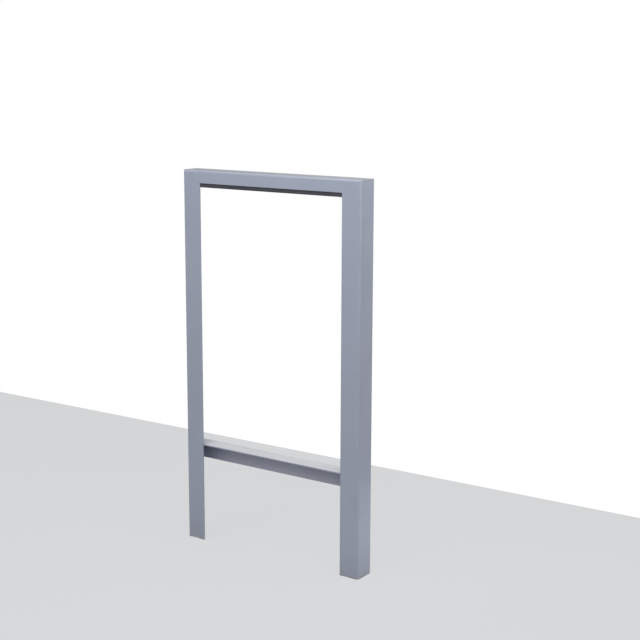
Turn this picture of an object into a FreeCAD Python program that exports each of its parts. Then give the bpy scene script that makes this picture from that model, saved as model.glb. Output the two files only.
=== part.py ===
"""A hoop to lean and lock a bicycle against, folded from steel sheet and bolted down below the paving.

The hoop is an open frame: two legs and a top rail, each an angle with a real bend, mitred into one
another at the top corners. A cross rail ties the legs near the ground. A rubber buffer fills the top
rail from below and behind, held up by three welded studs. The legs go through the paving to foot plates.

Millimetres, +Z up. The front face looks towards -Y. The origin lies under the middle of the hoop, on the
foundation that the foot plates rest on; the paving surface is paving_depth above it.
"""

import FreeCAD, Part
import math
import os

import Sketcher

SIZES = {
    "hoop_width": (500, "outside width of the hoop"),
    "hoop_height": (900, "top of the hoop above the paving"),
    "section_depth": (50, "depth of the hoop, front to back"),
    "leg_face": (50, "width of a leg's front face"),
    "rail_face": (30, "height of the top rail's front face"),
    "sheet_thickness": (3, "steel sheet of the legs and rails"),
    "bend_inside": (2, "inside radius of every bend"),
    "paving_depth": (100, "paving surface above the foundation"),
    "cross_rail_top": (240, "top of the cross rail above the paving"),
    "cross_rail_web": (47, "height of the cross rail's web"),
    "foot_thickness": (8, "thickness of a foot plate"),
    "foot_corner": (10, "corner radius of a foot plate"),
    "anchor_pitch": (90, "between neighbouring anchor holes"),
    "anchor_hole": (12, "diameter of an anchor hole"),
    "anchor_edge": (15, "middle of an anchor hole to the foot plate's edge"),
    "edge_break": (0.5, "rounding of the sheet's free edges"),
    "buffer_drop": (10, "buffer showing below the top rail's face"),
    "buffer_proud": (3, "buffer standing out behind the top rail"),
    "buffer_end_gap": (3, "between the buffer's end and a leg"),
    "buffer_front_radius": (3, "rounding of the buffer's front edges"),
    "buffer_back_radius": (6, "rounding of the buffer's back edges"),
    "buffer_wall": (3, "rubber beside a chamber"),
    "buffer_cover": (7, "rubber above and below a chamber"),
    "chamber_radius": (3, "rounding inside a chamber, or a third of its width if that is less"),
    "buffer_seat": (16, "rubber clamped between washer and rail"),
    "stud_pitch": (165, "between neighbouring studs"),
    "stud_diameter": (6, "diameter of a welded stud"),
    "stud_tail": (1.4, "stud showing past its nut"),
    "stud_chamfer": (0.8, "chamfer at the stud's tip"),
    "washer_diameter": (18, "outside diameter of a washer"),
    "washer_thickness": (1.6, "thickness of a washer"),
    "nut_flats": (10, "across the flats of a lock nut"),
    "nut_hexagon": (4.6, "height of the nut's hexagon"),
    "nut_chamfer": (0.45, "height of the hexagon's chamfers"),
    "collar_diameter": (8.6, "round collar that grips the thread"),
    "collar_height": (1.4, "height of that collar"),
    "hole_gap": (0.3, "around a stud, in the buffer and the washer"),
    "washer_gap": (0.5, "around a washer in its pocket"),
    "thread_gap": (0.2, "between a stud and its nut"),
    "cut_margin": (5, "how far a cutting outline runs past the sheet"),
}

STUD_COUNT = 3
ANCHOR_COUNT = 4
NUT_SIDES = 6
SIDES = {"left": -1, "right": 1}

# Places that several pieces share, as formulas of the sheet.
HALF_WIDTH = "(Sizes.hoop_width / 2)"
HALF_DEPTH = "(Sizes.section_depth / 2)"
TOP = "(Sizes.paving_depth + Sizes.hoop_height)"
RAIL_BOTTOM = f"({TOP} - Sizes.rail_face)"
OUTER_BEND = "(Sizes.bend_inside + Sizes.sheet_thickness)"
BUFFER_FRONT = f"(Sizes.sheet_thickness - {HALF_DEPTH})"
BUFFER_TOP = f"({TOP} - Sizes.sheet_thickness)"
BUFFER_BOTTOM = f"({RAIL_BOTTOM} - Sizes.buffer_drop)"
STUD_LINE = f"(({BUFFER_FRONT} + {HALF_DEPTH}) / 2)"
FIRST_STUD = f"(-{(STUD_COUNT - 1) / 2} * Sizes.stud_pitch)"
STUD_RADIUS = "(Sizes.stud_diameter / 2)"
HOLE_RADIUS = f"({STUD_RADIUS} + Sizes.hole_gap)"
POCKET_RADIUS = "(Sizes.washer_diameter / 2 + Sizes.washer_gap)"
WASHER_TOP = f"({BUFFER_TOP} - Sizes.buffer_seat)"
NUT_TOP = f"({WASHER_TOP} - Sizes.washer_thickness)"
COLLAR_TOP = f"({NUT_TOP} - Sizes.nut_hexagon)"
NUT_BOTTOM = f"({COLLAR_TOP} - Sizes.collar_height)"
STUD_TIP = f"({NUT_BOTTOM} - Sizes.stud_tail)"


def add_sheet(document):
    """Write each size into a row of the sheet: what it is, its value and its alias."""
    sheet = document.addObject("Spreadsheet::Sheet", "Sizes")
    for row, (alias, (value, meaning)) in enumerate(SIZES.items(), start=1):
        sheet.set(f"A{row}", meaning)
        sheet.set(f"B{row}", str(value))
        sheet.setAlias(f"B{row}", alias)
    document.recompute()


def add_body(document, name, x="0", y="0"):
    """Start a piece, placed by two formulas."""
    body = document.addObject("PartDesign::Body", name)
    body.Label = name
    body.AllowCompound = True
    body.setExpression("Placement.Base.x", x)
    body.setExpression("Placement.Base.y", y)
    return body


def origin_feature(body, role):
    """The body's own origin plane or axis that has this role."""
    return next(feature for feature in body.Origin.OriginFeatures if feature.Role == role)


def add_sketch(body, name, plane, offset="0"):
    """Start a sketch on a plane of the body's origin, moved along the plane's normal."""
    sketch = body.newObject("Sketcher::SketchObject", name)
    sketch.AttachmentSupport = [(origin_feature(body, plane), "")]
    sketch.MapMode = "FlatFace"
    sketch.setExpression("AttachmentOffset.Base.z", offset)
    return sketch


def number(sketch, formula):
    """What a formula comes to."""
    return float(sketch.evalExpression(formula))


def fix_point(sketch, geometry, vertex, place):
    """Tie a vertex to its two distances from the sketch's origin."""
    for kind, formula in zip(("DistanceX", "DistanceY"), place):
        value = number(sketch, formula)
        index = sketch.addConstraint(Sketcher.Constraint(kind, -1, 1, geometry, vertex, value))
        sketch.setExpression(f"Constraints[{index}]", formula)


def fix_radius(sketch, geometry, formula):
    """Tie the radius of a circle or an arc."""
    value = number(sketch, formula)
    index = sketch.addConstraint(Sketcher.Constraint("Radius", geometry, value))
    sketch.setExpression(f"Constraints[{index}]", formula)


def draw_circle(sketch, x, y, radius):
    """Draw a circle whose place and radius are formulas."""
    centre = FreeCAD.Vector(number(sketch, x), number(sketch, y), 0)
    circle = Part.Circle(centre, FreeCAD.Vector(0, 0, 1), number(sketch, radius))
    geometry = sketch.addGeometry(circle)
    fix_point(sketch, geometry, 3, (x, y))
    fix_radius(sketch, geometry, radius)


def draw_corner_arc(sketch, start, end, corner):
    """Draw a quarter arc that rounds a square corner. Returns its number and its first and last vertex."""
    centre = start + end - corner
    from_start, from_end = start - centre, end - centre
    anticlockwise = from_start.cross(from_end).z > 0
    first, last = (from_start, from_end) if anticlockwise else (from_end, from_start)
    begin = math.atan2(first.y, first.x)
    circle = Part.Circle(centre, FreeCAD.Vector(0, 0, 1), first.Length)
    geometry = sketch.addGeometry(Part.ArcOfCircle(circle, begin, begin + math.pi / 2))
    return (geometry, 1, 2) if anticlockwise else (geometry, 2, 1)


def along_edge(sketch, corner, other, distance):
    """The place that lies a distance from a corner, on its edge to another corner."""
    place = []
    for start, end in zip(corner[:2], other[:2]):
        run = number(sketch, end) - number(sketch, start)
        direction = 0 if abs(run) < 1e-6 else int(math.copysign(1, run))
        place.append(f"{start} + {direction} * {distance}")
    return tuple(place)


def draw_outline(sketch, corners):
    """Draw a closed outline of straight edges.

    A corner is a pair of formulas, or three where the last is its rounding. Edges that meet at a rounded
    corner run along the sketch's axes.
    """
    places = []
    rounded = {}
    for index, corner in enumerate(corners):
        if len(corner) == 2:
            places.append(corner)
            continue
        following = corners[(index + 1) % len(corners)]
        rounded[len(places)] = corner
        places.append(along_edge(sketch, corner, corners[index - 1], corner[2]))
        places.append(along_edge(sketch, corner, following, corner[2]))

    def point(place):
        return FreeCAD.Vector(number(sketch, place[0]), number(sketch, place[1]), 0)

    edges = []
    for index, place in enumerate(places):
        start, end = point(place), point(places[(index + 1) % len(places)])
        if index in rounded:
            edges.append(draw_corner_arc(sketch, start, end, point(rounded[index])))
        else:
            edges.append((sketch.addGeometry(Part.LineSegment(start, end)), 1, 2))

    for index, (geometry, first, _) in enumerate(edges):
        neighbour, _, last = edges[index - 1]
        sketch.addConstraint(Sketcher.Constraint("Coincident", neighbour, last, geometry, first))
        fix_point(sketch, geometry, first, places[index])
    for index, corner in rounded.items():
        fix_radius(sketch, edges[index][0], corner[2])


def rectangle(left, bottom, right, top, radius=None):
    """Corners of a rectangle, rounded or sharp."""
    corners = [(left, bottom), (right, bottom), (right, top), (left, top)]
    return corners if radius is None else [corner + (radius,) for corner in corners]


def folded_angle(x, y, across, up, width, height, upright_is_free=True):
    """Corners of a folded sheet's section: two flanges that meet in a bend at the outer corner (x, y).

    The flanges run from that corner towards across and up, each 1 or -1. Their ends are rounded, unless
    the upright one isn't free along its whole length.
    """
    sheet = "Sizes.sheet_thickness"
    free = ("Sizes.edge_break",)
    upright = free if upright_is_free else ()
    return [
        (x, y, OUTER_BEND),
        (f"{x} + {across} * {width}", y) + free,
        (f"{x} + {across} * {width}", f"{y} + {up} * {sheet}") + free,
        (f"{x} + {across} * {sheet}", f"{y} + {up} * {sheet}", "Sizes.bend_inside"),
        (f"{x} + {across} * {sheet}", f"{y} + {up} * {height}") + upright,
        (x, f"{y} + {up} * {height}") + upright,
    ]


def pad(body, sketch, length, symmetric=False):
    """Extend a sketch along its normal, or half the length each way."""
    feature = body.newObject("PartDesign::Pad", f"{sketch.Label}_pad")
    feature.Profile = sketch
    feature.SideType = "Symmetric" if symmetric else "One side"
    feature.setExpression("Length", length)
    body.Document.recompute()
    return feature


def revolve(body, sketch):
    """Turn a sketch round the body's vertical axis."""
    feature = body.newObject("PartDesign::Revolution", f"{sketch.Label}_turned")
    feature.Profile = sketch
    feature.ReferenceAxis = (origin_feature(body, "Z_Axis"), [""])
    feature.Angle = 360
    body.Document.recompute()
    return feature


def cut(body, sketch, length=None, upwards=False, symmetric=False):
    """Cut a sketch out of the body: to a depth, or right through both ways where none is given."""
    before = body.Shape.Volume
    feature = body.newObject("PartDesign::Pocket", f"{sketch.Label}_cut")
    feature.Profile = sketch
    feature.SideType = "Symmetric" if symmetric or length is None else "One side"
    if length is None:
        feature.Type = "ThroughAll"
    else:
        feature.setExpression("Length", length)
        feature.Reversed = upwards
    body.Document.recompute()
    if not body.Shape.Volume < before:
        raise RuntimeError(f"{feature.Label} removes nothing from {body.Label}")
    return feature


def finish_pattern(body, pattern, features):
    """Make a pattern of features the body's last step."""
    pattern.Originals = features
    body.Tip = pattern
    body.Document.recompute()


def repeat_in_row(body, features):
    """Repeat features along X at the pitch of the studs."""
    row = body.newObject("PartDesign::LinearPattern", "row")
    row.Direction = (origin_feature(body, "X_Axis"), [""])
    row.setExpression("Length", f"{STUD_COUNT - 1} * Sizes.stud_pitch")
    row.Occurrences = STUD_COUNT
    finish_pattern(body, row, features)


def repeat_round(body, features, count):
    """Repeat features evenly round the body's vertical axis."""
    ring = body.newObject("PartDesign::PolarPattern", "ring")
    ring.Axis = (origin_feature(body, "Z_Axis"), [""])
    ring.Angle = 360
    ring.Occurrences = count
    finish_pattern(body, ring, features)


def mirror_sideways(body, features):
    """Repeat features on the other side of the hoop's middle."""
    mirrored = body.newObject("PartDesign::Mirrored", "other_end")
    mirrored.MirrorPlane = (origin_feature(body, "YZ_Plane"), [""])
    finish_pattern(body, mirrored, features)


def add_leg(document, name, side):
    """A leg: its front face and its outer side face are one folded sheet, open inside and behind.

    Its top is mitred along 45 degrees to the depth of the rail's face, and then cut level under it.
    """
    body = add_body(document, name)
    outside = f"{side} * {HALF_WIDTH}"
    section = add_sketch(body, "section", "XY_Plane", "Sizes.foot_thickness")
    draw_outline(
        section,
        folded_angle(outside, f"-{HALF_DEPTH}", -side, 1, "Sizes.leg_face", "Sizes.section_depth"),
    )
    pad(body, section, f"{TOP} - Sizes.foot_thickness")

    mitre = add_sketch(body, "mitre", "XZ_Plane")
    inside = f"{side} * ({HALF_WIDTH} - Sizes.leg_face - Sizes.cut_margin)"
    above = f"{TOP} + Sizes.cut_margin"
    draw_outline(
        mitre,
        [
            (f"{side} * ({HALF_WIDTH} - Sizes.rail_face)", RAIL_BOTTOM),
            (inside, RAIL_BOTTOM),
            (inside, above),
            (f"{side} * ({HALF_WIDTH} + Sizes.cut_margin)", above),
        ],
    )
    cut(body, mitre)


def add_top_rail(document):
    """The top rail: its top and its front face are one folded sheet, mitred at both ends.

    The face's lower edge stays square where it sits on the legs, and is rounded between them.
    """
    body = add_body(document, "top_rail")
    section = add_sketch(body, "section", "YZ_Plane")
    draw_outline(
        section,
        folded_angle(
            f"-{HALF_DEPTH}", TOP, 1, -1, "Sizes.section_depth", "Sizes.rail_face", upright_is_free=False
        ),
    )
    pad(body, section, "Sizes.hoop_width", symmetric=True)

    edge = add_sketch(body, "lower_edge", "YZ_Plane")
    front, back = f"-{HALF_DEPTH}", BUFFER_FRONT
    margin = "Sizes.cut_margin"
    above = f"{RAIL_BOTTOM} + 2 * Sizes.edge_break"
    draw_outline(
        edge,
        [
            (f"{front} - {margin}", f"{RAIL_BOTTOM} - {margin}"),
            (f"{back} + {margin}", f"{RAIL_BOTTOM} - {margin}"),
            (f"{back} + {margin}", above),
            (back, above),
            (back, RAIL_BOTTOM, "Sizes.edge_break"),
            (front, RAIL_BOTTOM, "Sizes.edge_break"),
            (front, above),
            (f"{front} - {margin}", above),
        ],
    )
    cut(body, edge, "Sizes.hoop_width - 2 * Sizes.leg_face", symmetric=True)

    mitre = add_sketch(body, "mitre", "XZ_Plane")
    beyond = f"{HALF_WIDTH} + Sizes.cut_margin"
    below = f"{RAIL_BOTTOM} - Sizes.cut_margin"
    draw_outline(
        mitre,
        [
            (beyond, f"{TOP} + Sizes.cut_margin"),
            (f"{HALF_WIDTH} - Sizes.rail_face - Sizes.cut_margin", below),
            (beyond, below),
        ],
    )
    mirror_sideways(body, [cut(body, mitre)])


def add_cross_rail(document):
    """The cross rail: a level shelf with a web at the back, between the legs' side faces.

    The shelf stops where the bend of the legs begins, so it lies close behind their front faces.
    """
    body = add_body(document, "cross_rail")
    section = add_sketch(body, "section", "YZ_Plane")
    shelf_depth = f"(Sizes.section_depth - {OUTER_BEND})"
    shelf_top = "Sizes.paving_depth + Sizes.cross_rail_top"
    draw_outline(
        section,
        folded_angle(HALF_DEPTH, shelf_top, -1, -1, shelf_depth, "Sizes.cross_rail_web"),
    )
    pad(body, section, "Sizes.hoop_width - 2 * Sizes.sheet_thickness", symmetric=True)


def add_foot_plate(document, name, side):
    """A foot plate under a leg, with a square of anchor holes."""
    body = add_body(document, name, x=f"{side} * ({HALF_WIDTH} - Sizes.leg_face / 2)")
    outline = add_sketch(body, "outline", "XY_Plane")
    half = "(Sizes.anchor_pitch / 2 + Sizes.anchor_edge)"
    draw_outline(outline, rectangle(f"-{half}", f"-{half}", half, half, "Sizes.foot_corner"))
    pad(body, outline, "Sizes.foot_thickness")

    hole = add_sketch(body, "anchor_hole", "XY_Plane")
    draw_circle(hole, "Sizes.anchor_pitch / 2", "Sizes.anchor_pitch / 2", "Sizes.anchor_hole / 2")
    repeat_round(body, [cut(body, hole)], ANCHOR_COUNT)


def add_buffer(document):
    """The rubber buffer: an extruded strip with a chamber each side of the line of its studs."""
    body = add_body(document, "buffer_strip")
    section = add_sketch(body, "section", "YZ_Plane")
    back = f"({HALF_DEPTH} + Sizes.buffer_proud)"
    front_radius, back_radius = "Sizes.buffer_front_radius", "Sizes.buffer_back_radius"
    draw_outline(
        section,
        [
            (BUFFER_FRONT, BUFFER_TOP, front_radius),
            (BUFFER_FRONT, BUFFER_BOTTOM, front_radius),
            (back, BUFFER_BOTTOM, back_radius),
            (back, BUFFER_TOP, back_radius),
        ],
    )
    strip_depth = f"({HALF_DEPTH} - {BUFFER_FRONT})"
    chamber_width = f"({strip_depth} / 2 - {POCKET_RADIUS} - 2 * Sizes.buffer_wall)"
    chamber_radius = f"min(Sizes.chamber_radius; {chamber_width} / 3)"
    for direction in SIDES.values():
        near = f"{STUD_LINE} + {direction} * ({POCKET_RADIUS} + Sizes.buffer_wall)"
        far = f"{near} + {direction} * {chamber_width}"
        floor = f"{BUFFER_BOTTOM} + Sizes.buffer_cover"
        ceiling = f"{BUFFER_TOP} - Sizes.buffer_cover"
        draw_outline(section, rectangle(near, floor, far, ceiling, chamber_radius))
    leg_inside = "(Sizes.hoop_width - 2 * Sizes.sheet_thickness)"
    pad(body, section, f"{leg_inside} - 2 * Sizes.buffer_end_gap", symmetric=True)

    hole = add_sketch(body, "stud_hole", "XY_Plane", WASHER_TOP)
    draw_circle(hole, FIRST_STUD, STUD_LINE, HOLE_RADIUS)
    pocket = add_sketch(body, "washer_pocket", "XY_Plane", WASHER_TOP)
    draw_circle(pocket, FIRST_STUD, STUD_LINE, POCKET_RADIUS)
    repeat_in_row(
        body,
        [
            cut(body, hole, "Sizes.buffer_seat", upwards=True),
            cut(body, pocket, f"{WASHER_TOP} - {BUFFER_BOTTOM}"),
        ],
    )


def add_fixing(document, name, half_section):
    """Start a row of turned fixings on the stud line. Returns the body and the first fixing's feature."""
    body = add_body(document, name, x=FIRST_STUD, y=STUD_LINE)
    section = add_sketch(body, "half_section", "XZ_Plane")
    draw_outline(section, half_section)
    return body, revolve(body, section)


def add_studs(document):
    """Threaded studs, welded to the underside of the top rail."""
    chamfer = "Sizes.stud_chamfer"
    half_section = [
        ("0", BUFFER_TOP),
        (STUD_RADIUS, BUFFER_TOP),
        (STUD_RADIUS, f"{STUD_TIP} + {chamfer}"),
        (f"{STUD_RADIUS} - {chamfer}", STUD_TIP),
        ("0", STUD_TIP),
    ]
    body, stud = add_fixing(document, "buffer_studs", half_section)
    repeat_in_row(body, [stud])


def add_washers(document):
    """Wide washers that spread each nut's clamping over the rubber."""
    half_section = rectangle(HOLE_RADIUS, NUT_TOP, "Sizes.washer_diameter / 2", WASHER_TOP)
    body, washer = add_fixing(document, "buffer_washers", half_section)
    repeat_in_row(body, [washer])


def add_nuts(document):
    """Lock nuts: a turned blank with a collar, whose flats are then cut."""
    bore = f"{STUD_RADIUS} + Sizes.thread_gap"
    half_flats = "(Sizes.nut_flats / 2)"
    corner = f"({half_flats} / cos(30 deg))"
    collar = "Sizes.collar_diameter / 2"
    half_section = [
        (bore, NUT_TOP),
        (half_flats, NUT_TOP),
        (corner, f"{NUT_TOP} - Sizes.nut_chamfer"),
        (corner, f"{COLLAR_TOP} + Sizes.nut_chamfer"),
        (half_flats, COLLAR_TOP),
        (collar, COLLAR_TOP),
        (collar, NUT_BOTTOM),
        (bore, NUT_BOTTOM),
    ]
    body, blank = add_fixing(document, "buffer_nuts", half_section)
    flats = add_sketch(body, "flats", "XY_Plane", COLLAR_TOP)
    turns = [f"{index * 360 / NUT_SIDES} deg" for index in range(NUT_SIDES)]
    draw_outline(flats, [(f"{corner} * cos({turn})", f"{corner} * sin({turn})") for turn in turns])
    draw_circle(flats, "0", "0", f"{corner} + Sizes.cut_margin")
    repeat_in_row(body, [blank, cut(body, flats)])


def check_document(document):
    """Stop if a feature failed, or if a piece isn't a valid shape."""
    document.recompute()
    for item in document.Objects:
        if "Invalid" in item.State or "Error" in item.State:
            raise RuntimeError(f"{item.Label} of {document.Label} failed: {item.State}")
    for body in document.findObjects("PartDesign::Body"):
        if body.Shape.isNull() or not body.Shape.isValid() or body.Shape.Volume <= 0:
            raise RuntimeError(f"{body.Label} has no valid shape")


def write_pieces(document, folder):
    """Write each piece to its own file, and print its count of solids, volume and box."""
    os.makedirs(folder, exist_ok=True)
    for body in document.findObjects("PartDesign::Body"):
        body.Shape.exportStep(f"{folder}/{body.Label}.step")
        box = body.Shape.BoundBox
        print(
            f"{body.Label}: {len(body.Shape.Solids)} solids, {body.Shape.Volume / 1000:.2f} cm3, "
            f"X {box.XMin:.1f}..{box.XMax:.1f} Y {box.YMin:.1f}..{box.YMax:.1f} Z {box.ZMin:.1f}..{box.ZMax:.1f}"
        )


def main():
    """Build, check and write the hoop."""
    document = FreeCAD.newDocument("hoop")
    add_sheet(document)
    for word, side in SIDES.items():
        add_leg(document, f"{word}_leg", side)
        add_foot_plate(document, f"{word}_foot_plate", side)
    add_top_rail(document)
    add_cross_rail(document)
    add_buffer(document)
    add_studs(document)
    add_washers(document)
    add_nuts(document)
    check_document(document)
    write_pieces(document, "parts")


main()
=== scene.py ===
"""The looks of a folded steel hoop for bicycles: powder coat, rubber, zinc, weld beads and threads.

Metres, +Z up, +X to the right along the hoop, and the hoop's front face looks towards -Y. The feet
stand at z = 0 and the paving surface is 0.100 m above them.
"""

import logging
import math
from abc import ABC, abstractmethod
from dataclasses import dataclass
from enum import Enum
from functools import cached_property, partial, reduce
from typing import ClassVar, Sequence

import bpy
import numpy as np
from mathutils import Matrix, Vector


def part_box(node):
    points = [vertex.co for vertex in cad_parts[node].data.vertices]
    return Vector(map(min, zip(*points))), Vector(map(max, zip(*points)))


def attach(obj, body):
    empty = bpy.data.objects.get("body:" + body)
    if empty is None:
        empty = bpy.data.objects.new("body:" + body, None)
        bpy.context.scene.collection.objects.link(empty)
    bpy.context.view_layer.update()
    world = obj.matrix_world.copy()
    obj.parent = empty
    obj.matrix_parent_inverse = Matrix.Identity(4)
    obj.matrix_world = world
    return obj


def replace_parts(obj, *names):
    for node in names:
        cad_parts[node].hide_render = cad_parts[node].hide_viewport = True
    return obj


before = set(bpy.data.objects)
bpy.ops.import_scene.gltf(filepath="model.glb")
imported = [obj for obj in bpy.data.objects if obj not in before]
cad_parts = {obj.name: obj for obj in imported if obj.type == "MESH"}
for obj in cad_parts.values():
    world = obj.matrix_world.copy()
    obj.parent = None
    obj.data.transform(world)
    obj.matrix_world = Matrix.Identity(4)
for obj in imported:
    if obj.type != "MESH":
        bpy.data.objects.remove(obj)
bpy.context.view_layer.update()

LOG = logging.getLogger("hoop")

Colour = tuple[float, float, float]
Point = tuple[float, float, float]
Socket = bpy.types.NodeSocket
Value = float | Socket

BODY = "root"
PAVING = 0.100
MM = 0.001
SHEET = 3.0 * MM
STUD_RADIUS = 3.0 * MM
SMOOTH_UP_TO = math.radians(35.0)
WHITE: Colour = (1.0, 1.0, 1.0)

RAIL_LOW, RAIL_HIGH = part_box("top_rail")
SHELF_LOW, SHELF_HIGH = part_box("cross_rail")
STUDS_LOW, STUDS_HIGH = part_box("buffer_studs")
STUD_SPACING = STUDS_HIGH.x - STUD_RADIUS
STUD_DEPTH = 0.5 * (STUDS_LOW.y + STUDS_HIGH.y)


class Slot(Enum):
    """Two material slot names, which no piece here is given."""

    COAT = "powder_coat"
    ZINC = "zinc_steel"


class Side(Enum):
    """The two halves of the hoop: -1 is the left one, 1 the right one."""

    LEFT = -1
    RIGHT = 1

    @property
    def word(self) -> str:
        """The side's name in lower case."""
        return self.name.lower()


# Node graphs


class Graph:
    """The nodes of a material or of the world, made and joined in short calls."""

    def __init__(self, owner: bpy.types.Material | bpy.types.World) -> None:
        """Start with no nodes.

        Args:
            owner: The material or the world.
        """
        owner.use_nodes = True
        self.tree = owner.node_tree
        self.tree.nodes.clear()

    @cached_property
    def place(self) -> Socket:
        """The place on the object, in metres."""
        return self.add("ShaderNodeTexCoord").outputs["Object"]

    @cached_property
    def normal(self) -> Socket:
        """The direction that the surface faces."""
        return self.add("ShaderNodeNewGeometry").outputs["Normal"]

    def add(self, kind: str, **settings: object) -> bpy.types.Node:
        """Add a node.

        Args:
            kind: The node's type.
            **settings: Attributes of the node.

        Returns:
            The node.
        """
        node = self.tree.nodes.new(kind)
        for name, value in settings.items():
            setattr(node, name, value)
        return node

    def put(self, socket: Socket, value: object) -> None:
        """Give an input a number, a colour or the output that feeds it.

        Args:
            socket: The input.
            value: What goes in.
        """
        if isinstance(value, bpy.types.NodeSocket):
            self.tree.links.new(value, socket)
        elif socket.type == "RGBA":
            socket.default_value = (*value, 1.0)
        else:
            socket.default_value = value

    def math(self, operation: str, first: Value, second: Value = 0.0) -> Socket:
        """Do a sum on one or two values.

        Args:
            operation: The kind of sum.
            first: The first value.
            second: The second value.

        Returns:
            The result.
        """
        node = self.add("ShaderNodeMath", operation=operation)
        self.put(node.inputs[0], first)
        self.put(node.inputs[1], second)
        return node.outputs[0]

    def chain(self, operation: str, *values: Value) -> Socket:
        """Chain one kind of sum over several values."""
        return reduce(partial(self.math, operation), values)

    def times(self, *values: Value) -> Socket:
        """Multiply several values."""
        return self.chain("MULTIPLY", *values)

    def most(self, *values: Value) -> Socket:
        """Take the greatest of several values."""
        return self.chain("MAXIMUM", *values)

    def least(self, *values: Value) -> Socket:
        """Take the least of several values."""
        return self.chain("MINIMUM", *values)

    def ramp(self, value: Value, low: float, high: float, start: float = 0.0, end: float = 1.0) -> Socket:
        """Turn a range of values smoothly into another one, and hold it beyond its ends.

        Args:
            value: What is read.
            low: The value that gives start.
            high: The value that gives end.
            start: The result at low.
            end: The result at high.

        Returns:
            The result.
        """
        node = self.add("ShaderNodeMapRange", interpolation_type="SMOOTHSTEP")
        for socket, given in zip(node.inputs[:5], (value, low, high, start, end)):
            self.put(socket, given)
        return node.outputs[0]

    def axes(self, vector: Socket) -> tuple[Socket, Socket, Socket]:
        """Split a vector.

        Args:
            vector: The vector.

        Returns:
            Its three parts.
        """
        node = self.add("ShaderNodeSeparateXYZ")
        self.put(node.inputs[0], vector)
        return tuple(node.outputs)

    def length(self, first: Value, second: Value) -> Socket:
        """The length of the long side over two short ones.

        Args:
            first: One short side.
            second: The other short side.

        Returns:
            The long side.
        """
        pair = self.add("ShaderNodeCombineXYZ")
        self.put(pair.inputs[0], first)
        self.put(pair.inputs[1], second)
        node = self.add("ShaderNodeVectorMath", operation="LENGTH")
        self.put(node.inputs[0], pair.outputs[0])
        return node.outputs["Value"]

    def stretched(self, *scale: float) -> Socket:
        """The place on the object, scaled along each axis.

        Args:
            *scale: Factors for X, Y and Z.

        Returns:
            The new place.
        """
        node = self.add("ShaderNodeMapping")
        self.put(node.inputs["Vector"], self.place)
        node.inputs["Scale"].default_value = scale
        return node.outputs[0]

    def noise(
        self, scale: float, detail: float = 2.0, roughness: float = 0.5, place: Socket | None = None
    ) -> Socket:
        """A cloudy pattern.

        Args:
            scale: Cells in a metre.
            detail: Finer layers.
            roughness: How strong the finer layers are.
            place: Where it is read, or none for the place on the object.

        Returns:
            Values around 0.5.
        """
        node = self.add("ShaderNodeTexNoise")
        self.put(node.inputs["Vector"], place or self.place)
        for name, value in (("Scale", scale), ("Detail", detail), ("Roughness", roughness)):
            node.inputs[name].default_value = value
        return node.outputs["Fac"]

    def mix(self, share: Value, first: Colour | Socket, second: Colour | Socket) -> Socket:
        """Blend two colours.

        Args:
            share: How much of the second.
            first: The first colour.
            second: The second colour.

        Returns:
            The blend.
        """
        node = self.add("ShaderNodeMix", data_type="RGBA")
        colours = [socket for socket in node.inputs if socket.type == "RGBA"]
        for socket, value in zip((node.inputs[0], *colours), (share, first, second)):
            self.put(socket, value)
        return next(socket for socket in node.outputs if socket.type == "RGBA")

    def bump(self, height: Socket, distance: float, strength: float, under: Socket | None = None) -> Socket:
        """Tilt the surface by a height.

        Args:
            height: Values from 0 to 1.
            distance: The height in metres that 1 stands for.
            strength: How much of it shows.
            under: A normal that is tilted further.

        Returns:
            The tilted normal.
        """
        node = self.add("ShaderNodeBump")
        node.inputs["Distance"].default_value = distance
        node.inputs["Strength"].default_value = strength
        self.put(node.inputs["Height"], height)
        if under is not None:
            self.put(node.inputs["Normal"], under)
        return node.outputs[0]

    def shader(self, kind: str = "ShaderNodeBsdfPrincipled", **inputs: object) -> Socket:
        """Add a shader.

        Args:
            kind: The shader's type.
            **inputs: Values of its inputs, with underscores for spaces.

        Returns:
            Its output.
        """
        node = self.add(kind)
        for name, value in inputs.items():
            self.put(node.inputs[name.replace("_", " ")], value)
        return node.outputs[0]

    def close(self, kind: str, surface: Socket) -> None:
        """Join the finished shader to an output node of this type."""
        self.put(self.add(kind).inputs["Surface"], surface)


# Finishes


class Finish(ABC):
    """The look of one kind of surface."""

    name: ClassVar[str]

    @abstractmethod
    def surface(self, graph: Graph) -> Socket:
        """Lay out the nodes.

        Args:
            graph: An empty graph.

        Returns:
            The shader.
        """

    def material(self) -> bpy.types.Material:
        """Build the material.

        Returns:
            The material.
        """
        material = bpy.data.materials.new(self.name)
        graph = Graph(material)
        graph.close("ShaderNodeOutputMaterial", self.surface(graph))
        return material


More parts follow.
